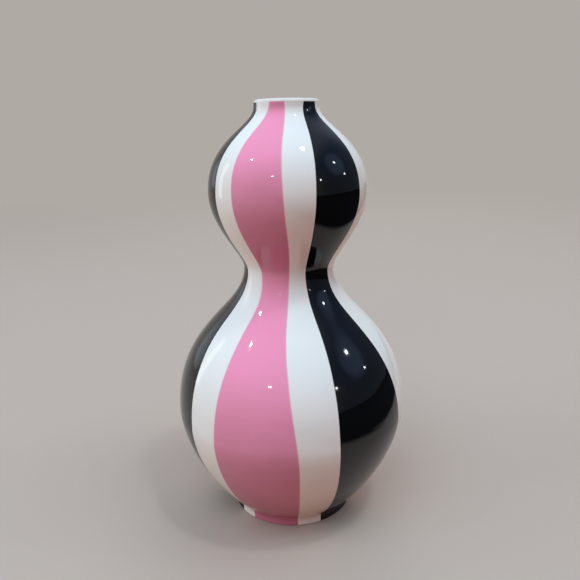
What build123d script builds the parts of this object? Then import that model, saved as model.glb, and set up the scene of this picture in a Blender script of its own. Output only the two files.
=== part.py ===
from build123d import *
import math
import os

# Double gourd vase in glazed stoneware, 200 mm tall.
# It stands on the ground plane with its axis on Z. The front faces -Y.
# The clay body is thrown in sections, luted together with slip at bevelled joints,
# and coated inside and out with glaze. The outer glaze is laid on as upright bands.

# Heights, each measured from the one before it, from the ground up
foot_height = 5.0
belly_rise = 49.6
waist_rise = 69.7
crown_rise = 35.0
neck_rise = 37.7
lip_height = 3.0

# Height of the foot's upright side, before it flares out under the belly
foot_upright = 1.9

# Outer radii of the glazed surface
foot_radius = 30.4
belly_radius = 56.2
waist_radius = 21.6
crown_radius = 36.9
lip_radius = 14.8

# Thicknesses
wall_thickness = 3.6
glaze_thickness = 0.4
foot_ring_width = 4.2
seam_thickness = 0.5

# Small shapes
foot_edge_round = 0.3
foot_fillet = 5.5
foot_flare_degrees = 45
floor_round = 6.0
lip_round = 1.4
joint_bevel = 2.0
joint_rise = 2.0
collar_height = 8.0
recess_gap = 0.3
overrun = 5.0

# How full each swell is: the curve's handles as shares of the rise or the reach they span
underbelly_start_share = 0.528
underbelly_end_share = 0.161
belly_top_share = 0.60
waist_under_share = 0.312
waist_over_share = 0.18
crown_under_share = 0.445
crown_top_share = 0.642
neck_under_share = 0.229

# Levels worked out from the heights
belly_level = foot_height + belly_rise
waist_level = belly_level + waist_rise
crown_level = waist_level + crown_rise
neck_level = crown_level + neck_rise
overall_height = neck_level + lip_height
reach = belly_radius + crown_radius

# Edges of the glaze bands, in degrees from the front towards +X, at these shares of the height
edge_level_shares = (0.0, 0.14, 0.27, 0.40, 0.50, 0.565, 0.65, 0.75, 0.88, 0.955, 1.0)
pink_start_degrees = (-39.5, -39, -38, -37, -35.5, -33, -37, -39.5, -40, -32, -24)
pink_end_degrees = (5, 4, 3, -0.5, -2.7, -1.2, 1, -1.8, -4, -2.2, -4.5)
black_start_degrees = (27, 24.5, 21.8, 21.5, 22, 20.7, 19, 18, 20.5, 28, 34)
black_end_degrees = (66, 65.5, 64.5, 61.5, 59, 56, 55, 57, 58, 57.7, 53)
left_black_end_degrees = (65, 65.5, 67, 64.5, 59, 58, 57, 60.5, 59.5, 59, 54)
repeats = 3
repeat_turn_degrees = 360 / repeats
repeat_sway_degrees = (0, 2, -1.5)

# The set of bands round the right-hand side leans away from the front above the belly.
# Each of its four edges takes a share of the lean.
leaning_repeat = 1
lean_degrees = (0, 0, 2, 10, 18, 16, 10, 8, 8, 4, 0)
lean_shares = (1.0, 0.6, 0.3, 0.0)


def mitred(point, angle_in, angle_out, inset):
    """A corner of the outline, moved in by inset from both of the straight legs that meet there."""
    shrink = inset * math.tan((angle_out - angle_in) / 2)
    return (
        point[0] - inset * math.sin(angle_in) - shrink * math.cos(angle_in),
        0,
        point[1] + inset * math.cos(angle_in) - shrink * math.sin(angle_in),
    )


def swell(start, start_angle, start_handle, end, end_handle, inset):
    """A curve from a sloping start to an upright end, moved in from the glazed surface by inset."""
    upright = math.pi / 2
    leave = (start[0] + start_handle * math.cos(start_angle), start[1] + start_handle * math.sin(start_angle))
    arrive = (end[0], end[1] - end_handle)
    slant = math.atan2(arrive[1] - leave[1], arrive[0] - leave[0])
    return Bezier(
        mitred(start, start_angle, start_angle, inset),
        mitred(leave, start_angle, slant, inset),
        mitred(arrive, slant, upright, inset),
        mitred(end, upright, upright, inset),
    )


def fillet_spot(angle, inset):
    """A point on the hollow between the foot's side and the belly, at an angle round its centre."""
    hollow_radius = foot_fillet + inset
    return (
        foot_radius + foot_fillet + hollow_radius * math.cos(angle),
        0,
        foot_upright + hollow_radius * math.sin(angle),
    )


def sides(inset):
    """The vase's side from the top of the foot to the foot of the lip, moved in by inset."""
    upright = math.pi / 2
    flare = math.radians(foot_flare_degrees)
    flare_spot = fillet_spot(upright + flare, 0)
    foot_top = (flare_spot[0], flare_spot[2])
    belly = (belly_radius, belly_level)
    waist = (waist_radius, waist_level)
    crown = (crown_radius, crown_level)
    neck = (lip_radius, neck_level)
    under_start = underbelly_start_share * belly_rise
    under_end = underbelly_end_share * belly_rise
    return [
        swell(foot_top, flare, under_start, belly, under_end, inset),
        swell(belly, upright, belly_top_share * waist_rise, waist, waist_under_share * waist_rise, inset),
        swell(waist, upright, waist_over_share * crown_rise, crown, crown_under_share * crown_rise, inset),
        swell(crown, upright, crown_top_share * neck_rise, neck, neck_under_share * neck_rise, inset),
    ]


def foot_side(inset):
    """The foot's upright side and the hollow above it, from the foot's bottom edge up."""
    flare_end = math.pi / 2 + math.radians(foot_flare_degrees)
    return [
        Line((foot_radius - inset, 0, foot_edge_round), (foot_radius - inset, 0, foot_upright)),
        ThreePointArc(
            fillet_spot(math.pi, inset),
            fillet_spot((math.pi + flare_end) / 2, inset),
            fillet_spot(flare_end, inset),
        ),
    ]


def lip_edge(radius, inset, outward):
    """The rounded corner of the lip, which ends level on the rim's top."""
    turn = 1 if outward else -1
    corner = lip_round - inset
    centre_radius = radius - turn * lip_round
    centre_level = overall_height - lip_round
    slant = corner * math.sqrt(1 / 2)
    return ThreePointArc(
        (centre_radius + turn * corner, 0, centre_level),
        (centre_radius + turn * slant, 0, centre_level + slant),
        (centre_radius, 0, overall_height - inset),
    )


def close(edges):
    """A face in the XZ plane from a chain of edges, closed by straight lines between them."""
    chain = []
    for index, edge in enumerate(edges):
        chain.append(edge)
        here = edge @ 1
        there = edges[(index + 1) % len(edges)] @ 0
        if (here - there).length > glaze_thickness / 1000:
            chain.append(Line(here, there))
    return make_face(Wire(chain))


def turn_back(edges):
    """The same chain of edges, walked the other way."""
    return [Edge.reversed(edge, reconstruct=True) for edge in reversed(edges)]


def spin(face):
    """The solid that a face in the XZ plane makes when it is turned about the vase's axis."""
    return revolve(face, Axis.Z)


def save(node, shape):
    """One STEP file for one piece."""
    shape.label = node
    export_step(shape, os.path.join("parts", node + ".step"))
    print(node, "solids", len(shape.solids()), "volume", round(shape.volume, 1))


os.makedirs("parts", exist_ok=True)

# Surfaces: outer glaze at no inset, clay under it, then the inside clay and the inside glaze
clay_outside = glaze_thickness
clay_inside = clay_outside + wall_thickness
bore_surface = clay_inside + glaze_thickness
lip_start = overall_height - lip_round
bore_radius = lip_radius - bore_surface
ring_inner_radius = foot_radius - glaze_thickness - foot_ring_width

# Outline of the whole body, filled in from the axis outwards
clay_top = overall_height - glaze_thickness
ring_outer_radius = foot_radius - clay_outside
resting_radius = ring_outer_radius - foot_edge_round
edge_slant = foot_edge_round * math.sqrt(1 / 2)
foot_bottom_edge = ThreePointArc(
    (resting_radius, 0, 0),
    (resting_radius + edge_slant, 0, foot_edge_round - edge_slant),
    (ring_outer_radius, 0, foot_edge_round),
)
body = close(
    [
        Line((0, 0, foot_height), (ring_inner_radius, 0, foot_height)),
        Line((ring_inner_radius, 0, 0), (resting_radius, 0, 0)),
        foot_bottom_edge,
    ]
    + foot_side(clay_outside)
    + sides(clay_outside)
    + [
        Line((lip_radius - clay_outside, 0, neck_level), (lip_radius - clay_outside, 0, lip_start)),
        lip_edge(lip_radius, glaze_thickness, True),
        Line((lip_radius - lip_round, 0, clay_top), (0, 0, clay_top)),
    ]
)


def hollow(inset, rim):
    """The room inside a surface that lies inset in from the glazed side, up through the rim's edges."""
    walls = sides(inset) + rim
    top_level = (walls[-1] @ 1).Z
    bottom_level = (walls[0] @ 0).Z
    room = close(walls + [Line((0, 0, top_level), (0, 0, bottom_level))])
    floor_plane = Plane(origin=(0, 0, foot_height + inset))
    room = split(room, bisect_by=floor_plane, keep=Keep.TOP).face()
    floor_edge = room.edges().sort_by(Axis.Z)[0]
    floor_corner = floor_edge.vertices().sort_by(Axis.X)[-1]
    return room.fillet_2d(floor_round + clay_inside - inset, [floor_corner])


# Clay wall, one face for the whole height, which the joints then divide
bore_upright = Line((lip_radius - clay_inside, 0, neck_level), (lip_radius - clay_inside, 0, lip_start))
rim_opening = Line(
    (bore_radius + lip_round, 0, clay_top),
    (bore_radius + lip_round, 0, overall_height + overrun),
)
inner_rim = [bore_upright, lip_edge(bore_radius, glaze_thickness, False), rim_opening]
clay_wall = body - hollow(clay_inside, inner_rim)


def joint_line(radius, level):
    """A joint across the wall at one radius: it drops towards the inside, and is flat beyond."""
    return [
        (0, level - 2 * joint_bevel),
        (radius - 2 * wall_thickness, level - 2 * joint_bevel),
        (radius + wall_thickness, level + joint_bevel),
        (reach, level + joint_bevel),
    ]


def flat_line(level):
    """A level joint, such as the one on top of the foot ring."""
    return [(0, level), (reach, level)]


def between(low_line, low_shift, high_line, high_shift):
    """The part of the clay wall between two joint lines, each moved up or down."""
    low = [(radius, 0, level + low_shift) for radius, level in low_line]
    high = [(radius, 0, level + high_shift) for radius, level in reversed(high_line)]
    zone = make_face(Polyline(*low, *high, close=True))
    return spin(clay_wall & zone)


ground_line = flat_line(-overrun)
foot_joint = flat_line(foot_height - seam_thickness / 2)
belly_joint = joint_line(belly_radius, belly_level + joint_rise)
waist_joint = joint_line(waist_radius, waist_level + joint_rise)
crown_joint = joint_line(crown_radius, crown_level + joint_rise)
collar_joint = joint_line(lip_radius, overall_height - collar_height)
sky_line = flat_line(overall_height + overrun)

# Clay sections, from the ground up, with a layer of slip between each two
joints = [ground_line, foot_joint, belly_joint, waist_joint, crown_joint, collar_joint, sky_line]
sections = ["foot_ring", "lower_bowl", "lower_shoulder", "upper_bowl", "upper_shoulder", "neck_collar"]
seams = ["foot_seam", "belly_seam", "waist_seam", "crown_seam", "collar_seam"]
half_seam = seam_thickness / 2
for index, node in enumerate(sections):
    save(node, between(joints[index], half_seam, joints[index + 1], -half_seam))
for index, node in enumerate(seams):
    save(node, between(joints[index + 1], -half_seam, joints[index + 1], half_seam))

# Inside glaze, from the rounded lip down the bore and over the floor
glazed_bore = Line((bore_radius, 0, neck_level), (bore_radius, 0, lip_start))
save("inside_glaze", spin(hollow(clay_inside, [bore_upright]) - hollow(bore_surface, [glazed_bore])))

# White glaze over the lip, where the coloured bands stop
lip_glaze = close(
    [lip_edge(lip_radius, 0, True)]
    + turn_back([lip_edge(bore_radius, 0, False)])
    + [lip_edge(bore_radius, glaze_thickness, False)]
    + turn_back([lip_edge(lip_radius, glaze_thickness, True)])
)
save("lip_glaze", spin(lip_glaze))

# Glaze on the underside, inside the foot ring
recess_disc = Cylinder(
    ring_inner_radius - recess_gap,
    glaze_thickness,
    align=(Align.CENTER, Align.CENTER, Align.MAX),
)
save("recess_glaze", Pos(0, 0, foot_height) * recess_disc)

# Outer glaze, one layer, which the band edges then divide
layer_outside = (
    foot_side(0)
    + sides(0)
    + [Line((lip_radius, 0, neck_level), (lip_radius, 0, lip_start))]
)
layer_inside = (
    [Line((lip_radius - clay_outside, 0, lip_start), (lip_radius - clay_outside, 0, neck_level))]
    + turn_back(sides(clay_outside))
    + turn_back(foot_side(clay_outside))
)
glaze_layer = spin(close(layer_outside + layer_inside))

# Axis line that every band edge's face starts from
axis_line = Edge.make_line((0, 0, -overrun), (0, 0, overall_height + overrun))


def band_edge(degrees_table, repeat, lean_share):
    """One band's edge as a curve well outside the vase, from below it to above it."""
    points = []
    for share, degrees, lean in zip(edge_level_shares, degrees_table, lean_degrees):
        sway = repeat_sway_degrees[repeat] * math.sin(2 * math.pi * share)
        angle = math.radians(degrees + sway + lean_share * lean + repeat * repeat_turn_degrees)
        level = -overrun + share * (overall_height + 2 * overrun)
        points.append((reach * math.sin(angle), -reach * math.cos(angle), level))
    return Edge.make_spline(points)


edge_curves = []
for repeat in range(repeats):
    black_end_table = black_end_degrees
    if repeat == repeats - 1:
        black_end_table = left_black_end_degrees
    tables = (pink_start_degrees, pink_end_degrees, black_start_degrees, black_end_table)
    for table, lean_share in zip(tables, lean_shares):
        if repeat != leaning_repeat:
            lean_share = 0
        edge_curves.append(band_edge(table, repeat, lean_share))
edge_faces = [Face.make_surface_from_curves(axis_line, curve) for curve in edge_curves]


def wedge(index):
    """The slice of space between one band edge and the next, from the axis outwards."""
    following = (index + 1) % len(edge_curves)
    here = edge_curves[index]
    there = edge_curves[following]
    outer_face = Face.make_surface_from_curves(here, there)
    ends = []
    for spot in (0, 1):
        corners = [axis_line @ spot, here @ spot, there @ spot]
        ends.append(Face(Wire.make_polygon(corners, close=True)))
    return Solid(Shell([edge_faces[index], edge_faces[following], outer_face] + ends))


# Bands round the vase: pink, white, black, white, three times over
colours = ["pink", "white", "black", "white"]
made = {"pink": 0, "white": 0, "black": 0}
for index in range(len(edge_curves)):
    colour = colours[index % len(colours)]
    made[colour] += 1
    save(colour + "_band_" + str(made[colour]), glaze_layer & wedge(index))

print("height", round(overall_height, 2), "width", round(2 * belly_radius, 2))
print("mouth radius", round(bore_radius, 2), "waist passage radius", round(waist_radius - bore_surface, 2))
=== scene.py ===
# %% [markdown]
# A double gourd vase in glazed stoneware, 200 mm tall, with upright bands of pink, white and black
# glaze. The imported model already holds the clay: a foot ring, four bulb sections and a collar, luted
# together with slip. What anybody sees of a glazed pot is its glaze, so that is what this lesson makes:
# the twelve coloured coats, the white lip and the glazed recess underneath. The lengths are in
# millimetres, and one factor turns them into Blender's metres.

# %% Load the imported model
import math

import bpy
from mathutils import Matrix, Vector


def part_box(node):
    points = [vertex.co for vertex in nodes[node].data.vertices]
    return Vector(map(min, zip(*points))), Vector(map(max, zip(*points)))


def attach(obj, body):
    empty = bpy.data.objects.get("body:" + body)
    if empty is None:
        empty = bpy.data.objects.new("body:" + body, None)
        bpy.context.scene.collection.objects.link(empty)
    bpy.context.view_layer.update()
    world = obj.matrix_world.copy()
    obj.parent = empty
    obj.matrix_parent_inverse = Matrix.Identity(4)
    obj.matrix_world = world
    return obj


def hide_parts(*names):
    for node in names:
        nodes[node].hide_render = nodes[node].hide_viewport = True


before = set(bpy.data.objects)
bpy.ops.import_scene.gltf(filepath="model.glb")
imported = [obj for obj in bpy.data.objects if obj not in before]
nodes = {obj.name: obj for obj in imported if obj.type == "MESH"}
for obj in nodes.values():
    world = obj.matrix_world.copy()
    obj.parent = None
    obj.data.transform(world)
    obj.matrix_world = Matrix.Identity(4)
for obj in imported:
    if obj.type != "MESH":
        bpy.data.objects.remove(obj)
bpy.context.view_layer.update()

MM = 0.001

# %% [markdown]
# ## Sizes
# The glaze has to lie exactly where the clay leaves room for it, so its reach comes from the packed
# model: the box of a node gives its lowest and highest corner. The levels of the belly, the waist and
# the crown are the thrower's own marks on the side of the pot.

# %% Sizes
lip_low, lip_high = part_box("lip_glaze")
band_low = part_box("white_band_1")[0]
recess_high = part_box("recess_glaze")[1]

GLAZE = 0.4
OVERALL_HEIGHT = lip_high.z / MM
LIP_STOP = lip_low.z / MM
LIP_RADIUS = lip_high.x / MM
BAND_BOTTOM = band_low.z / MM
RECESS_RADIUS = recess_high.x / MM
RECESS_LEVEL = recess_high.z / MM

FOOT_RADIUS = 30.4
FOOT_UPRIGHT = 1.9
FOOT_FILLET = 5.5
FOOT_FLARE_DEGREES = 45
BELLY_LEVEL, BELLY_RADIUS = 54.6, 56.2
WAIST_LEVEL, WAIST_RADIUS = 124.3, 21.6
CROWN_LEVEL, CROWN_RADIUS = 159.3, 36.9
NECK_LEVEL = 197.0
LIP_ROUND = OVERALL_HEIGHT - LIP_STOP
BORE_RADIUS = 10.4
OVERRUN = 5.0
print("height", round(OVERALL_HEIGHT, 2), "foot", round(FOOT_RADIUS, 2), "lip", round(LIP_RADIUS, 2),
      "bands from", round(BAND_BOTTOM, 2), "to", round(LIP_STOP, 2))


# %% [markdown]
# ## Working by hand, in code
# Blender's operators act on whatever is selected, and loading a model leaves all of it selected. So
# every step starts by clearing the selection and picking one object up.

# %% Helpers for picking things up
def pick(thing):
    """Select one object alone and make it the active one."""
    bpy.ops.object.select_all(action="DESELECT")
    thing.select_set(True)
    bpy.context.view_layer.objects.active = thing
    return thing


def edit_all(thing):
    """Enter edit mode on one object with all of it selected."""
    pick(thing)
    bpy.ops.object.mode_set(mode="EDIT")
    bpy.ops.mesh.select_all(action="SELECT")


def leave_edit():
    bpy.ops.object.mode_set(mode="OBJECT")


def edit_chosen(thing, kind, wanted):
    """Enter edit mode with only the faces or edges selected for which wanted(element) is true."""
    edit_all(thing)
    bpy.ops.mesh.select_mode(type=kind)
    bpy.ops.mesh.select_all(action="DESELECT")
    leave_edit()
    for element in (thing.data.polygons if kind == "FACE" else thing.data.edges):
        element.select = wanted(element)
    bpy.ops.object.mode_set(mode="EDIT")


def apply_modifiers(thing):
    """Make every modifier on one object part of its mesh."""
    pick(thing)
    for modifier in list(thing.modifiers):
        bpy.ops.object.modifier_apply(modifier=modifier.name)


# %% [markdown]
# ## The outline
# A thrown pot is one outline turned about an axis, so the outline is all there is to draw. It is a
# Bezier curve with a knot wherever the side stands upright: at the belly, the waist, the crown and the
# neck. The handles of those knots point straight up and down, and their lengths make a swell full or
# slack. The foot has a low upright side, and a small hollow leads from it into the flare under the
# belly. The curve then becomes a line of points, and Spin turns it into the pot's skin.

# %% Draw an outline and spin it
def draw_outline(name, knots, rows):
    """A curve through knots of (radius, level, handle back, handle on), in millimetres, as a mesh line."""
    bpy.ops.object.select_all(action="DESELECT")
    bpy.ops.curve.primitive_bezier_curve_add(location=(0, 0, 0))
    outline = bpy.context.active_object
    outline.name = name
    outline.data.resolution_u = rows
    spline = outline.data.splines[0]
    spline.bezier_points.add(len(knots) - 2)
    for point, (radius, level, back, on) in zip(spline.bezier_points, knots):
        point.handle_left_type = "FREE"
        point.handle_right_type = "FREE"
        point.co = (radius * MM, 0, level * MM)
        point.handle_left = ((radius - back[0]) * MM, 0, (level - back[1]) * MM)
        point.handle_right = ((radius + on[0]) * MM, 0, (level + on[1]) * MM)
    pick(outline)
    bpy.ops.object.convert(target="MESH")
    return bpy.context.active_object


def spin_round(outline, columns):
    """Turn a line of points about the vertical axis, join the seam and point the faces outwards."""
    edit_all(outline)
    bpy.ops.mesh.spin(steps=columns, angle=math.tau, center=(0, 0, 0), axis=(0, 0, 1))
    bpy.ops.mesh.select_all(action="SELECT")
    bpy.ops.mesh.remove_doubles(threshold=0.002 * MM)
    bpy.ops.mesh.normals_make_consistent(inside=False)
    leave_edit()
    return outline


BELLY_UNDER, BELLY_OVER = 8.0, 41.82
WAIST_UNDER, WAIST_OVER = 21.75, 6.3
CROWN_UNDER, CROWN_OVER = 15.58, 24.2
NECK_UNDER = 8.63
UNDERBELLY_START = 26.19
UPRIGHT_HANDLE, SHORT_HANDLE = 1.0, 0.5
ROWS = 32
COLOUR_COLUMNS = 16


def arc_handle(radius, degrees):
    """How long a Bezier handle has to be to draw an arc of a circle."""
    return radius * 4 / 3 * math.tan(math.radians(degrees) / 4)


flare = math.radians(FOOT_FLARE_DEGREES)
flare_way = Vector((math.cos(flare), math.sin(flare)))
hollow_handle = arc_handle(FOOT_FILLET, FOOT_FLARE_DEGREES)
flare_radius = FOOT_RADIUS + FOOT_FILLET * (1 - math.sin(flare))
flare_level = FOOT_UPRIGHT + FOOT_FILLET * math.cos(flare)
side_knots = [
    (FOOT_RADIUS, BAND_BOTTOM, (0, UPRIGHT_HANDLE), (0, UPRIGHT_HANDLE)),
    (FOOT_RADIUS, FOOT_UPRIGHT, (0, UPRIGHT_HANDLE), (0, hollow_handle)),
    (flare_radius, flare_level, flare_way * hollow_handle, flare_way * UNDERBELLY_START),
    (BELLY_RADIUS, BELLY_LEVEL, (0, BELLY_UNDER), (0, BELLY_OVER)),
    (WAIST_RADIUS, WAIST_LEVEL, (0, WAIST_UNDER), (0, WAIST_OVER)),
    (CROWN_RADIUS, CROWN_LEVEL, (0, CROWN_UNDER), (0, CROWN_OVER)),
    (LIP_RADIUS, NECK_LEVEL, (0, NECK_UNDER), (0, SHORT_HANDLE)),
    (LIP_RADIUS, LIP_STOP, (0, SHORT_HANDLE), (0, SHORT_HANDLE)),
]
BANDS = 12
COLUMNS = BANDS * COLOUR_COLUMNS
skin = spin_round(draw_outline("glaze_skin", side_knots, ROWS), COLUMNS)
print("skin", len(skin.data.vertices), "points", len(skin.data.polygons), "faces")

# %% [markdown]
# ## Where the bands meet
# The bands are laid on by hand, so their edges wander: they draw in towards the lip, and lean a little
# at the waist. Each edge is a short list of bearings, in degrees from the front, at a few shares of the
# height. A smooth curve runs between them. The same four edges come round three times, with a small
# sway. One black edge on the left has a list of its own because it was painted more freely, and the set
# on the right leans away from the front above the belly, each of its four edges by a share of the lean.

# %% Bearings of the band edges
EDGE_LEVEL_SHARES = (0.0, 0.14, 0.27, 0.40, 0.50, 0.565, 0.65, 0.75, 0.88, 0.955, 1.0)
PINK_START = (-39.5, -39, -38, -37, -35.5, -33, -37, -39.5, -40, -32, -24)
PINK_END = (5, 4, 3, -0.5, -2.7, -1.2, 1, -1.8, -4, -2.2, -4.5)
BLACK_START = (27, 24.5, 21.8, 21.5, 22, 20.7, 19, 18, 20.5, 28, 34)
BLACK_END = (66, 65.5, 64.5, 61.5, 59, 56, 55, 57, 58, 57.7, 53)
LEFT_BLACK_END = (65, 65.5, 67, 64.5, 59, 58, 57, 60.5, 59.5, 59, 54)
REPEAT_SWAY = (0, 2, -1.5)
REPEATS = len(REPEAT_SWAY)
LEANING_REPEAT = 1
LEAN = (0, 0, 2, 10, 18, 16, 10, 8, 8, 4, 0)
LEAN_SHARES = (1.0, 0.6, 0.3, 0.0)


def along(table, share):
    """The value of a table at a share of the height, on a smooth curve through its entries."""
    shares = EDGE_LEVEL_SHARES
    last = len(shares) - 2
    span = max(index for index in range(last + 1) if shares[index] <= max(share, 0))
    low, high = shares[span], shares[span + 1]
    before, after = max(span - 1, 0), min(span + 2, last + 1)
    slope_low = (table[span + 1] - table[before]) / (high - shares[before])
    slope_high = (table[after] - table[span]) / (shares[after] - low)
    reach = high - low
    t = (share - low) / reach
    return ((2 * t**3 - 3 * t**2 + 1) * table[span] + (t**3 - 2 * t**2 + t) * reach * slope_low
            + (3 * t**2 - 2 * t**3) * table[span + 1] + (t**3 - t**2) * reach * slope_high)


def edge_bearing(edge, level):
    """The bearing of one band edge at a level in millimetres, in degrees."""
    turn, kind = divmod(edge, 4)
    black_end = LEFT_BLACK_END if turn % REPEATS == REPEATS - 1 else BLACK_END
    table = (PINK_START, PINK_END, BLACK_START, black_end)[kind]
    share = (level + OVERRUN) / (OVERALL_HEIGHT + 2 * OVERRUN)
    sway = REPEAT_SWAY[turn % REPEATS] * math.sin(math.tau * share)
    lean = LEAN_SHARES[kind] * along(LEAN, share) if turn == LEANING_REPEAT else 0
    return along(table, share) + sway + lean + turn * 360 / REPEATS


print("first pink edge at the waist", round(edge_bearing(0, WAIST_LEVEL), 1), "degrees")

# %% [markdown]
# ## Slide the columns of the skin on to the edges
# Spin made evenly spaced columns. Every sixteenth one is slid round the pot on to a band edge, level by
# level, and those between follow. They bunch up towards the edges, so that the shading of a coat is
# right up to its rim. While we are here, each point notes how far it is from its coat's nearest edge,
# and how far the side leans over there. The glaze recipes use the first note to let the colour fade out
# at an edge, where glaze runs thin, and the second for painted light and shade: lighter where the side
# faces up and darker under each swell. The foot stands upright but takes the note of the flare above it,
# so that it is painted dark with shade too.

# %% Slide the columns
edge_note = skin.data.attributes.new("edge_mm", "FLOAT", "POINT")
painted_shade_note = skin.data.attributes.new("lean", "FLOAT", "POINT")
# The upright foot is given the flare's lean, so that its colour is painted dark with shade.
foot_painted_shade_lean = math.cos(flare)
painted_shade_leans = [-point.normal.z if point.co.z > flare_level * MM else foot_painted_shade_lean for point in skin.data.vertices]
band_note = skin.data.attributes.new("band", "INT", "FACE")
column_angle = 360 / COLUMNS
for face in skin.data.polygons:
    bearing = math.degrees(math.atan2(face.center.x, -face.center.y)) % 360
    band_note.data[face.index].value = int(bearing / column_angle) // COLOUR_COLUMNS
for point in skin.data.vertices:
    radius = math.hypot(point.co.x, point.co.y)
    level = point.co.z / MM
    column = round((math.degrees(math.atan2(point.co.x, -point.co.y)) % 360) / column_angle) % COLUMNS
    band, step = divmod(column, COLOUR_COLUMNS)
    share = 0.5 - 0.5 * math.cos(math.pi * step / COLOUR_COLUMNS)
    start, end = edge_bearing(band, level), edge_bearing(band + 1, level)
    bearing = math.radians(start + share * (end - start))
    point.co.x, point.co.y = radius * math.sin(bearing), -radius * math.cos(bearing)
    edge_note.data[point.index].value = min(share, 1 - share) * math.radians(end - start) * radius / MM
    painted_shade_note.data[point.index].value = painted_shade_leans[point.index]
skin.data.update()
print("slid", len(skin.data.vertices), "points on", COLUMNS, "columns")

# %% [markdown]
# ## One coat of glaze for each band
# Every band is a coat that was poured or brushed by itself, so it is a piece by itself. It is parted
# from the skin, given the thickness of a glaze coat with Solidify, and its bottom rim is bevelled,
# because glaze draws back into a small bead where the foot was wiped clean.

# %% Part the coats
COLOURS = ("pink", "white", "black", "white")
NEAR = 0.05
BEAD_WIDTH = 0.18


def part_coat(name, band):
    """Part one band from the skin as an object of its own."""
    edit_chosen(skin, "FACE", lambda face: skin.data.attributes["band"].data[face.index].value == band)
    bpy.ops.mesh.separate(type="SELECTED")
    leave_edit()
    coat = [thing for thing in bpy.context.selected_objects if thing != skin][0]
    coat.name = name
    return coat


def thicken(coat):
    """Give a coat its thickness, inwards from the glazed surface."""
    pick(coat)
    solidify = coat.modifiers.new("thickness", "SOLIDIFY")
    solidify.thickness = GLAZE * MM
    solidify.offset = -1
    solidify.use_even_offset = True
    apply_modifiers(coat)


def bead_rim(coat, level, width):
    """Round the outer edge of a coat where it stops at one level."""
    near = NEAR * MM
    rim = [point.co for point in coat.data.vertices if abs(point.co.z - level * MM) < near]
    outer = max(point.xy.length for point in rim)

    def on_rim(edge):
        ends = [coat.data.vertices[index].co for index in edge.vertices]
        return all(abs(end.z - level * MM) < near and outer - end.xy.length < near for end in ends)

    edit_chosen(coat, "EDGE", on_rim)
    bpy.ops.mesh.bevel(offset=width * MM, segments=3, affect="EDGES")
    leave_edit()


def smooth(thing, degrees=40):
    """Smooth shading, kept crisp where two faces meet at more than this angle."""
    pick(thing)
    bpy.ops.object.shade_smooth_by_angle(angle=math.radians(degrees))


coats = {}
made = {"pink": 0, "white": 0, "black": 0}
for band in range(BANDS):
    colour = COLOURS[band % 4]
    made[colour] += 1
    coats[band] = part_coat(colour + "_coat_" + str(made[colour]), band)
    thicken(coats[band])
    bead_rim(coats[band], BAND_BOTTOM, BEAD_WIDTH)
    smooth(coats[band])
    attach(coats[band], "root")
    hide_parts(colour + "_band_" + str(made[colour]))
bpy.data.objects.remove(skin)
print("coats", [(coat.name, len(coat.data.polygons)) for coat in coats.values()][:4])

# %% [markdown]
# ## The lip
# The coloured coats stop just under the rim, and the white glaze goes over it in one round roll. Its
# outline is two quarter rounds with a short flat between them. It is spun and thickened like a coat.

# %% Spin the lip
LIP_ROWS = 10
LIP_END_HANDLE = 0.1
lip_handle = arc_handle(LIP_ROUND, 90)
lip_knots = [
    (LIP_RADIUS, LIP_STOP, (0, LIP_END_HANDLE), (0, lip_handle)),
    (LIP_RADIUS - LIP_ROUND, OVERALL_HEIGHT, (-lip_handle, 0), (-SHORT_HANDLE, 0)),
    (BORE_RADIUS + LIP_ROUND, OVERALL_HEIGHT, (-SHORT_HANDLE, 0), (-lip_handle, 0)),
    (BORE_RADIUS, LIP_STOP, (0, -lip_handle), (0, -LIP_END_HANDLE)),
]
lip = spin_round(draw_outline("lip_coat", lip_knots, LIP_ROWS), COLUMNS)
thicken(lip)
smooth(lip)
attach(lip, "root")
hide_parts("lip_glaze")
print("lip", len(lip.data.polygons), "faces")

# %% [markdown]
# ## The glazed recess
# Under the vase, inside the foot ring, the glaze lies in a shallow pool that creeps up where it meets
# the ring. A filled circle is inset a few times, and its rings are lowered towards the edge, because
# down is where the viewer of an upturned pot looks from.

# %% Pool the glaze in the recess
RECESS_COLUMNS = 96
RING_WIDTHS = (0.35, 0.4, 0.6, 1.0, 2.0, 6.0, 8.0)
CREEP_HEIGHT, CREEP_WIDTH = 0.8, 0.55
bpy.ops.object.select_all(action="DESELECT")
bpy.ops.mesh.primitive_circle_add(vertices=RECESS_COLUMNS, radius=RECESS_RADIUS * MM, fill_type="NGON",
                                  location=(0, 0, (RECESS_LEVEL - GLAZE) * MM))
recess = bpy.context.active_object
recess.name = "recess_coat"
bpy.ops.object.transform_apply(location=True, rotation=True, scale=True)
bpy.ops.object.mode_set(mode="EDIT")
bpy.ops.mesh.select_mode(type="FACE")
bpy.ops.mesh.select_all(action="SELECT")
for ring_width in RING_WIDTHS:
    bpy.ops.mesh.inset(thickness=ring_width * MM, depth=0)
bpy.ops.mesh.poke()
leave_edit()
for point in recess.data.vertices:
    from_rim = RECESS_RADIUS - math.hypot(point.co.x, point.co.y) / MM
    point.co.z -= CREEP_HEIGHT * MM * math.exp(-from_rim / CREEP_WIDTH)
edit_all(recess)
bpy.ops.mesh.normals_make_consistent(inside=False)
leave_edit()
if recess.data.polygons[0].normal.z > 0:
    edit_all(recess)
    bpy.ops.mesh.flip_normals()
    leave_edit()
thicken(recess)
smooth(recess)
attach(recess, "root")
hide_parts("recess_glaze")
print("recess", len(recess.data.polygons), "faces")

# %% [markdown]
# ## Colours and nodes
# Colours are written as they look on a screen, in hex, and one function turns them into the linear
# values that light adds up in. Another adds a node to a material, with its settings and its links.

# %% Colour and node helpers
def linear(hex_colour):
    """A screen colour such as #E9EDEE as linear red, green, blue and alpha."""
    values = [int(hex_colour[at:at + 2], 16) / 255 for at in (1, 3, 5)]
    return tuple(v / 12.92 if v <= 0.04045 else ((v + 0.055) / 1.055) ** 2.4 for v in values) + (1.0,)


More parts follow.
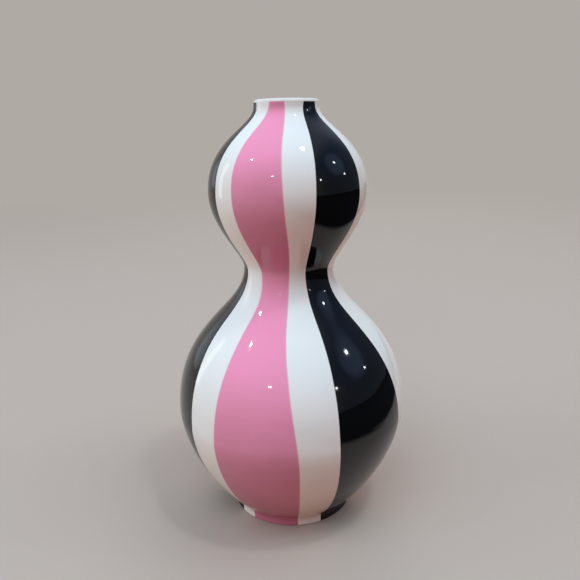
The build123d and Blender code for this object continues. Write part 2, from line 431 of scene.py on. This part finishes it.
def add(material, kind, settings=None, **links):
    """A node with its settings, and with its inputs set to values or linked to other nodes' outputs."""
    node = material.node_tree.nodes.new(kind)
    for key, value in (settings or {}).items():
        setattr(node, key, value)
    for key, value in links.items():
        by_number = key[0] == "i" and key[1:].isdigit()
        socket = node.inputs[int(key[1:]) if by_number else key.replace("_", " ")]
        if isinstance(value, bpy.types.NodeSocket):
            material.node_tree.links.new(value, socket)
        else:
            socket.default_value = value
    return node


def new_material(name):
    material = bpy.data.materials.new(name)
    material.use_nodes = True
    material.node_tree.nodes.clear()
    return material


def finish_material(material, shader):
    output = add(material, "ShaderNodeOutputMaterial")
    material.node_tree.links.new(shader, output.inputs["Surface"])
    return material


# %% [markdown]
# ## Gloss glaze
# The real finish is a lead-free gloss glaze fired to about 1200 degrees: a layer of coloured glass. Glass
# of that kind has an index of refraction near 1.5, and fires so smooth that lamps show in it as points.
# Three things keep it from looking like plastic: the surface is never quite even, because it follows
# the throwing rings and its own flow, it has a faint skin texture and a few pinholes, and its colour
# thins at the edges of a coat. Each of those is a pattern with a real size in millimetres. In the
# shader code i0, i1 and so on are a node's inputs by number.

# %% Gloss glaze
GLAZE_IOR = 1.5
CLOUD_SIZE = 28
RING_SPACING, RING_LENGTH = 1.1, 40
FLOW_SPACING, FLOW_LENGTH = 4.5, 60
SWELL_SIZE, SWELL_DEPTH = 16, 0.22
GRAIN_SIZE, GRAIN_DEPTH = 1.4, 0.006
PIN_SPACING, PIN_DEPTH = 7.0, 0.03
PIN_INNER_SHARE, PIN_OUTER_SHARE = 0.012, 0.03
RAG_SIZE = 1.6


def gloss_glaze(name, painted_lit_colour, colour, painted_shade_colour, rim, fade, roughness, ring_strength):
    """A fired gloss glaze: its colour painted lit on a shoulder, plain on an upright side and painted shaded
    under a swell, and its colour at a coat's edge.
    """
    material = new_material(name)
    place = add(material, "ShaderNodeTexCoord").outputs["Object"]
    millimetres = add(material, "ShaderNodeVectorMath", {"operation": "SCALE"}, Vector=place, Scale=1 / MM)
    spot = millimetres.outputs["Vector"]
    cloud = add(material, "ShaderNodeTexNoise", Vector=spot, Scale=1 / CLOUD_SIZE, Detail=2.0, Roughness=0.5)
    rings = add(material, "ShaderNodeMapping", Vector=spot,
                Scale=(1 / RING_LENGTH, 1 / RING_LENGTH, 1 / RING_SPACING))
    ring_lines = add(material, "ShaderNodeTexNoise", Vector=rings.outputs["Vector"], Scale=1.0, Detail=3.0)
    tone = add(material, "ShaderNodeMath", {"operation": "MULTIPLY_ADD"}, i0=ring_lines.outputs["Fac"],
               i1=0.35, i2=cloud.outputs["Fac"])
    # Random tone plus how far the side faces down: the colour is painted lighter where it faces up and
    # darker under each swell, as painted light and shade.
    lean = add(material, "ShaderNodeAttribute", {"attribute_name": "lean"})
    tone_and_painted_shade = add(material, "ShaderNodeMath", {"operation": "MULTIPLY_ADD"}, i0=tone.outputs[0], i1=0.4,
                   i2=lean.outputs["Fac"])
    spread = add(material, "ShaderNodeMapRange", Value=tone_and_painted_shade.outputs[0], From_Min=-0.3, From_Max=0.95)
    body = add(material, "ShaderNodeValToRGB", Fac=spread.outputs[0])
    stops = body.color_ramp.elements
    stops.new(0.5)
    for stop, tint in zip(stops, (painted_lit_colour, colour, painted_shade_colour)):
        stop.color = linear(tint)
    note = add(material, "ShaderNodeAttribute", {"attribute_name": "edge_mm"})
    ragged = add(material, "ShaderNodeTexNoise", Vector=spot, Scale=1 / RAG_SIZE, Detail=2.0)
    wobble = add(material, "ShaderNodeMath", {"operation": "MULTIPLY_ADD"}, i0=ragged.outputs["Fac"],
                 i1=-0.35 * fade, i2=note.outputs["Fac"])
    thin = add(material, "ShaderNodeMapRange", {"interpolation_type": "SMOOTHSTEP"}, Value=wobble.outputs[0],
               From_Min=-0.15 * fade, From_Max=fade, To_Min=0.0, To_Max=1.0)
    shown = add(material, "ShaderNodeMix", {"data_type": "RGBA"}, i0=thin.outputs[0], i6=linear(rim),
                i7=body.outputs["Color"])
    pins = add(material, "ShaderNodeTexVoronoi", {"feature": "F1"}, Vector=spot, Scale=1 / PIN_SPACING)
    pin = add(material, "ShaderNodeMapRange", Value=pins.outputs["Distance"], From_Min=PIN_INNER_SHARE,
              From_Max=PIN_OUTER_SHARE, To_Min=0.0, To_Max=1.0)
    swell = add(material, "ShaderNodeTexNoise", Vector=spot, Scale=1 / SWELL_SIZE, Detail=1.0)
    skin_grain = add(material, "ShaderNodeTexNoise", Vector=spot, Scale=1 / GRAIN_SIZE, Detail=2.0)
    flow = add(material, "ShaderNodeMapping", Vector=spot,
               Scale=(1 / FLOW_LENGTH, 1 / FLOW_LENGTH, 1 / FLOW_SPACING))
    throwing = add(material, "ShaderNodeTexNoise", Vector=flow.outputs["Vector"], Scale=1.0, Detail=1.0)
    bump_swell = add(material, "ShaderNodeBump", Height=swell.outputs["Fac"], Strength=1.0,
                     Distance=SWELL_DEPTH * MM)
    bump_rings = add(material, "ShaderNodeBump", Height=throwing.outputs["Fac"], Strength=1.0,
                     Distance=ring_strength * MM, Normal=bump_swell.outputs[0])
    bump_grain = add(material, "ShaderNodeBump", Height=skin_grain.outputs["Fac"], Strength=1.0,
                     Distance=GRAIN_DEPTH * MM, Normal=bump_rings.outputs[0])
    bump_pins = add(material, "ShaderNodeBump", Height=pin.outputs[0], Strength=1.0, Distance=PIN_DEPTH * MM,
                    Normal=bump_grain.outputs[0])
    gloss = add(material, "ShaderNodeMapRange", Value=cloud.outputs["Fac"], From_Min=0.3, From_Max=0.7,
                To_Min=roughness, To_Max=roughness + 0.03)
    shader = add(material, "ShaderNodeBsdfPrincipled", Base_Color=shown.outputs[2],
                 Roughness=gloss.outputs[0], IOR=GLAZE_IOR, Normal=bump_pins.outputs[0])
    return finish_material(material, shader.outputs[0])


# The first three colours of each glaze are painted light and shade: lit on a shoulder, plain on an upright
# side, shaded under a swell.
white_glaze = gloss_glaze("gloss_white_glaze", "#E9EBEB", "#E6E7E5", "#E4E2DE", "#E4E3E0", 0.5, 0.05, 0.05)
pink_glaze = gloss_glaze("gloss_pink_glaze", "#F296BA", "#D788A4", "#BB6D86", "#EDB9CF", 0.5, 0.05, 0.05)
black_glaze = gloss_glaze("gloss_black_glaze", "#0B0C0E", "#090A0B", "#060607", "#34353A", 0.28, 0.045, 0.05)
print("glazes", white_glaze.name, pink_glaze.name, black_glaze.name)

# %% [markdown]
# ## Bare stoneware and slip
# The foot is wiped clean before firing, or the pot would stick to the kiln shelf. Bare stoneware fires
# to a warm buff with fine grit in it and no shine at all, and the turning tool leaves rings on the foot.
# The slip in the joints is the same clay without its grit, so it is smoother and a shade darker.

# %% Bare stoneware and slip
CLAY_ROUGHNESS = 0.88
STAIN_SIZE = 9
TURNING_SPACING, TURNING_DEPTH = 2.2, 0.05


def fired_clay(name, colour, dark, grit_size, grit_depth):
    """Fired, unglazed clay with grit of one size, in millimetres, and the rings of the turning tool."""
    material = new_material(name)
    place = add(material, "ShaderNodeTexCoord").outputs["Object"]
    millimetres = add(material, "ShaderNodeVectorMath", {"operation": "SCALE"}, Vector=place, Scale=1 / MM)
    spot = millimetres.outputs["Vector"]
    grit = add(material, "ShaderNodeTexNoise", Vector=spot, Scale=1 / grit_size, Detail=4.0, Roughness=0.65)
    stain = add(material, "ShaderNodeTexNoise", Vector=spot, Scale=1 / STAIN_SIZE, Detail=3.0)
    mixed = add(material, "ShaderNodeMath", {"operation": "MULTIPLY_ADD"}, i0=stain.outputs["Fac"], i1=0.6,
                i2=grit.outputs["Fac"])
    spread = add(material, "ShaderNodeMapRange", Value=mixed.outputs[0], From_Min=0.55, From_Max=1.05)
    shade = add(material, "ShaderNodeMix", {"data_type": "RGBA"}, i0=spread.outputs[0], i6=linear(dark),
                i7=linear(colour))
    turned = add(material, "ShaderNodeTexWave", {"wave_type": "RINGS", "rings_direction": "Z"}, Vector=spot,
                 Scale=1 / TURNING_SPACING, Distortion=1.5, Detail=2.0, Detail_Scale=0.6)
    bump_turned = add(material, "ShaderNodeBump", Height=turned.outputs["Fac"], Strength=1.0,
                      Distance=TURNING_DEPTH * MM)
    bump_grit = add(material, "ShaderNodeBump", Height=grit.outputs["Fac"], Strength=1.0,
                    Distance=grit_depth * MM, Normal=bump_turned.outputs[0])
    shader = add(material, "ShaderNodeBsdfPrincipled", Base_Color=shade.outputs[2], Roughness=CLAY_ROUGHNESS,
                 Normal=bump_grit.outputs[0])
    return finish_material(material, shader.outputs[0])


stoneware = fired_clay("bare_fired_stoneware", "#D9CCB6", "#B8A88E", 0.35, 0.06)
slip = fired_clay("fired_joining_slip", "#CDBFA8", "#B3A38A", 0.2, 0.03)

print("clays", stoneware.name, slip.name)

# %% [markdown]
# ## Dressing the pieces
# A material goes into every slot of a piece. Each coat takes its own colour, the lip, the recess and the
# inside are white, and the clay under the glaze and the slip in the joints stay bare.

# %% Dress every piece
def dress(thing, material):
    """Put one material on all of a piece."""
    if not thing.material_slots:
        thing.data.materials.append(material)
    for holder in thing.material_slots:
        holder.material = material


by_colour = {"pink": pink_glaze, "white": white_glaze, "black": black_glaze}
for band, coat in coats.items():
    dress(coat, by_colour[COLOURS[band % 4]])
for piece in (lip, recess, nodes["inside_glaze"]):
    dress(piece, white_glaze)
for name in ("foot_ring", "lower_bowl", "lower_shoulder", "upper_bowl", "upper_shoulder", "neck_collar"):
    dress(nodes[name], stoneware)
for name in ("foot_seam", "belly_seam", "waist_seam", "crown_seam", "collar_seam"):
    dress(nodes[name], slip)
print("dressed", len(coats), "coats and", len(nodes), "packed nodes in the frame")

# %% [markdown]
# ## The room
# A gloss pot shows its room more than itself, so the room is planned by what the glaze shows of it. The
# camera sees a pale wall, a cool ceiling and a plain pale floor from every side. What the glaze reflects
# has the same wall, ceiling and floor, and more: a dim side on the right and a black cloth on the floor
# there, which keep the black glaze deep, a tall window on the left and a doorway on the right. Light that
# bounces about the room is warm from low down and cool from above, and warmest from the floor.

# %% Room colours and the rays that see them
WALL = "#B0AAA5"
CEILING = "#A4B1CC"
DIM_CEILING = "#566990"
DOORWAY = "#93A8D4"
WINDOW = "#E8F4FF"
DIM_SIDE = "#56616F"
LOW_BOUNCE = "#BF9C91"
HIGH_BOUNCE = "#90A9C2"
FLOOR = "#B6A59B"
FLOOR_BOUNCE = "#A06E58"
CLOTH = "#26262A"
FLOOR_RADIUS = 6.0


def seen_rays(material):
    """1 for what the camera, a reflection or a see-through surface looks at, and 0 for bounced light."""
    path = add(material, "ShaderNodeLightPath")
    mirrored = add(material, "ShaderNodeMath", {"operation": "MAXIMUM"}, i0=path.outputs["Is Glossy Ray"],
                   i1=path.outputs["Is Transmission Ray"])
    seen = add(material, "ShaderNodeMath", {"operation": "MAXIMUM"}, i0=path.outputs["Is Camera Ray"],
               i1=mirrored.outputs[0])
    return seen.outputs[0]


def mirror_rays(material):
    """1 for what a reflection looks at, and 0 for all the rest."""
    return add(material, "ShaderNodeLightPath").outputs["Is Glossy Ray"]


def ramp(material, value, low, high):
    """0 where the value is at low or beyond, 1 at high or beyond, and a soft change between them."""
    return add(material, "ShaderNodeMapRange", {"interpolation_type": "SMOOTHSTEP"}, Value=value,
               From_Min=low, From_Max=high).outputs[0]


def blend(material, share, first, second):
    """A mix of two colours, each a hex colour or another node's output."""
    first, second = [linear(side) if isinstance(side, str) else side for side in (first, second)]
    return add(material, "ShaderNodeMix", {"data_type": "RGBA"}, i0=share, i6=first, i7=second).outputs[2]


# %% [markdown]
# ## The world
# A room without walls: every direction has a colour, blended by soft ramps along the X and Z of that
# direction. The doorway and the window are two round glows in it, and only reflections see them.

# %% World
WINDOW_WAY, WINDOW_INNER, WINDOW_OUTER = Vector((-0.76, 0.635, 0.14)), 0.996, 0.972
DOORWAY_WAY, DOORWAY_INNER, DOORWAY_OUTER = Vector((0.835, -0.073, 0.545)), 0.99, 0.955
SIDE_FADE = (0.5, 0.85)
CEILING_SIDE_FADE = (0.42, 0.7)
WALL_TOP_FADE = (0.15, 0.65)
BOUNCE_FADE = (0.2, 0.8)


def glow(way_to, inner, outer, colour, around):
    """A soft round glow in one direction, over what is around it: full where the cosine of the angle to
    that direction is inner, and gone where it is outer."""
    towards = add(world, "ShaderNodeVectorMath", {"operation": "DOT_PRODUCT"}, i0=way, i1=way_to)
    return blend(world, ramp(world, towards.outputs["Value"], outer, inner), around, colour)


world = bpy.data.worlds.new("pale_room")
bpy.context.scene.world = world
world.use_nodes = True
world.node_tree.nodes.clear()
way = add(world, "ShaderNodeTexCoord").outputs["Generated"]
way_parts = add(world, "ShaderNodeSeparateXYZ", Vector=way).outputs
horizon = blend(world, ramp(world, way_parts["X"], *SIDE_FADE), WALL, DIM_SIDE)
ceiling = blend(world, ramp(world, way_parts["X"], *CEILING_SIDE_FADE), CEILING, DIM_CEILING)
walls_and_ceiling = blend(world, ramp(world, way_parts["Z"], *WALL_TOP_FADE), horizon, ceiling)
with_doorway = glow(DOORWAY_WAY, DOORWAY_INNER, DOORWAY_OUTER, DOORWAY, walls_and_ceiling)
mirrored_room = glow(WINDOW_WAY, WINDOW_INNER, WINDOW_OUTER, WINDOW, with_doorway)
backdrop = blend(world, ramp(world, way_parts["Z"], *WALL_TOP_FADE), WALL, CEILING)
seen_room = blend(world, mirror_rays(world), backdrop, mirrored_room)
bounced_room = blend(world, ramp(world, way_parts["Z"], *BOUNCE_FADE), LOW_BOUNCE, HIGH_BOUNCE)
room_colour = blend(world, seen_rays(world), bounced_room, seen_room)
room_light = add(world, "ShaderNodeBackground", Color=room_colour, Strength=1.0)
world_output = add(world, "ShaderNodeOutputWorld")
world.node_tree.links.new(room_light.outputs[0], world_output.inputs["Surface"])
print("world", len(world.node_tree.nodes), "nodes")

# %% [markdown]
# ## The floor
# One big matte disc, which fades into the colour of the wall further out, so that no edge of it shows.
# The black cloth lies beside the picture and is there for reflections alone.

# %% Floor
PICTURE_SIDE = Vector((0.893, -0.45, 0))
PICTURE_REACH, CLOTH_FADE = 0.145, 0.03
FLOOR_FADE = (0.35, 1.6)
bpy.ops.object.select_all(action="DESELECT")
bpy.ops.mesh.primitive_circle_add(vertices=128, radius=FLOOR_RADIUS, fill_type="NGON", location=(0, 0, 0))
floor = bpy.context.active_object
floor.name = "pale_floor"
floor_paint = new_material("pale_matte_floor")
spot = add(floor_paint, "ShaderNodeTexCoord").outputs["Object"]
distance = add(floor_paint, "ShaderNodeVectorMath", {"operation": "LENGTH"}, Vector=spot).outputs["Value"]
sideways = add(floor_paint, "ShaderNodeVectorMath", {"operation": "DOT_PRODUCT"}, i0=spot, i1=PICTURE_SIDE)
floor_body = add(floor_paint, "ShaderNodeBsdfDiffuse", Color=linear(FLOOR))
wall_glow = add(floor_paint, "ShaderNodeEmission", Color=linear(WALL), Strength=1.0)
cloth = add(floor_paint, "ShaderNodeBsdfDiffuse", Color=linear(CLOTH))
floor_seen = add(floor_paint, "ShaderNodeMixShader", i0=ramp(floor_paint, distance, *FLOOR_FADE),
                 i1=floor_body.outputs[0], i2=wall_glow.outputs[0])
beside = ramp(floor_paint, sideways.outputs["Value"], PICTURE_REACH, PICTURE_REACH + CLOTH_FADE)
mirrored_cloth = add(floor_paint, "ShaderNodeMath", {"operation": "MULTIPLY"}, i0=beside,
                     i1=mirror_rays(floor_paint))
floor_and_cloth = add(floor_paint, "ShaderNodeMixShader", i0=mirrored_cloth.outputs[0],
                      i1=floor_seen.outputs[0], i2=cloth.outputs[0])
floor_bounce = add(floor_paint, "ShaderNodeBsdfDiffuse", Color=linear(FLOOR_BOUNCE))
floor_mix = add(floor_paint, "ShaderNodeMixShader", i0=seen_rays(floor_paint), i1=floor_bounce.outputs[0],
                i2=floor_and_cloth.outputs[0])
finish_material(floor_paint, floor_mix.outputs[0])
dress(floor, floor_paint)
print("floor", FLOOR_RADIUS, "m in radius")

# %% [markdown]
# ## Lamps
# Each lamp is placed by the bearing and the height at which its reflection shows in the glaze, which is
# how a photographer would walk round the pot to find it. The broad soft panels are kept out of the
# reflections. The small ceiling lamps show in the glaze as points, and the tall window as a faint streak.

# %% Lamps
MIDDLE = Vector((0, 0, 0.12))
WHITE_LEVEL = math.pi ** 2
AWAY, WINDOW_AWAY = 1.8, 1.25


def lamp(name, bearing, rise, distance, width, height, level, colour="#EFFBFC"):
    """A lamp aimed at the pot, from a bearing clockwise from straight behind it. At level 1 it lights a
    white surface that faces it to full white."""
    bpy.ops.object.select_all(action="DESELECT")
    turn, lift = math.radians(bearing), math.radians(rise)
    way = Vector((math.sin(turn) * math.cos(lift), math.cos(turn) * math.cos(lift), math.sin(lift)))
    bpy.ops.object.light_add(type="AREA", location=MIDDLE + way * distance)
    light = bpy.context.active_object
    light.name = name
    light.data.shape = "RECTANGLE"
    light.data.size = width
    light.data.size_y = height
    light.data.energy = level * WHITE_LEVEL * distance ** 2
    light.data.color = linear(colour)[:3]
    light.rotation_euler = (-way).to_track_quat("-Z", "Y").to_euler()
    return light


for panel in (lamp("left_panel", -100, 10, AWAY, 1.4, 1.4, 0.50, "#E6FBFF"),
              lamp("right_panel", 105, 62, AWAY, 0.9, 0.9, 0.29, "#E2FBFF"),
              lamp("front_panel", -152, 62, AWAY, 1.0, 1.0, 0.36, "#DAF2FF"),
              lamp("back_panel", 10, 30, AWAY, 1.2, 1.2, 0.35)):
    panel.visible_glossy = False
lamp("left_window", -72, 10, WINDOW_AWAY, 0.16, 0.8, 0.05)
CEILING_LAMPS = [(125, 70, 0.12, 0.12), (96, 36, 0.06, 0.03), (-108, 48, 0.06, 0.03), (-157, 29, 0.06, 0.03),
                 (131, 20, 0.04, 0.01), (89, 19, 0.04, 0.01)]
for number, (bearing, rise, width, level) in enumerate(CEILING_LAMPS):
    lamp("ceiling_lamp_" + str(number + 1), bearing, rise, AWAY, width, width, level)
print("lamps", len(bpy.data.lights))

# %% [markdown]
# ## Camera
# The photograph was taken close to the pot, from a little below its rim and looking down by 16
# degrees, with a tilt of one degree. The lens follows from the picture's width of 580 pixels: it saw 53
# degrees.

# %% Camera
PICTURE_WIDTH = 580
SENSOR_WIDTH = 36.0
FOCAL_PIXELS = 580.7
CAMERA_BACK, CAMERA_UP = 272.4, 189.0
CAMERA_DIP, CAMERA_ROLL = 15.88, 0.95
PICTURE_SHIFT = -0.6
bpy.ops.object.select_all(action="DESELECT")
bpy.ops.object.camera_add(location=(0, -CAMERA_BACK * MM, CAMERA_UP * MM))
camera = bpy.context.active_object
camera.rotation_mode = "XYZ"
camera.rotation_euler = (math.radians(90 - CAMERA_DIP), 0, 0)
camera.rotation_euler.rotate_axis("Z", math.radians(-CAMERA_ROLL))
camera.data.sensor_width = SENSOR_WIDTH
camera.data.lens = SENSOR_WIDTH * FOCAL_PIXELS / PICTURE_WIDTH
camera.data.shift_x = -PICTURE_SHIFT / PICTURE_WIDTH
bpy.context.scene.camera = camera
bpy.context.scene.view_settings.view_transform = "Standard"
print("lens", round(camera.data.lens, 2), "mm")
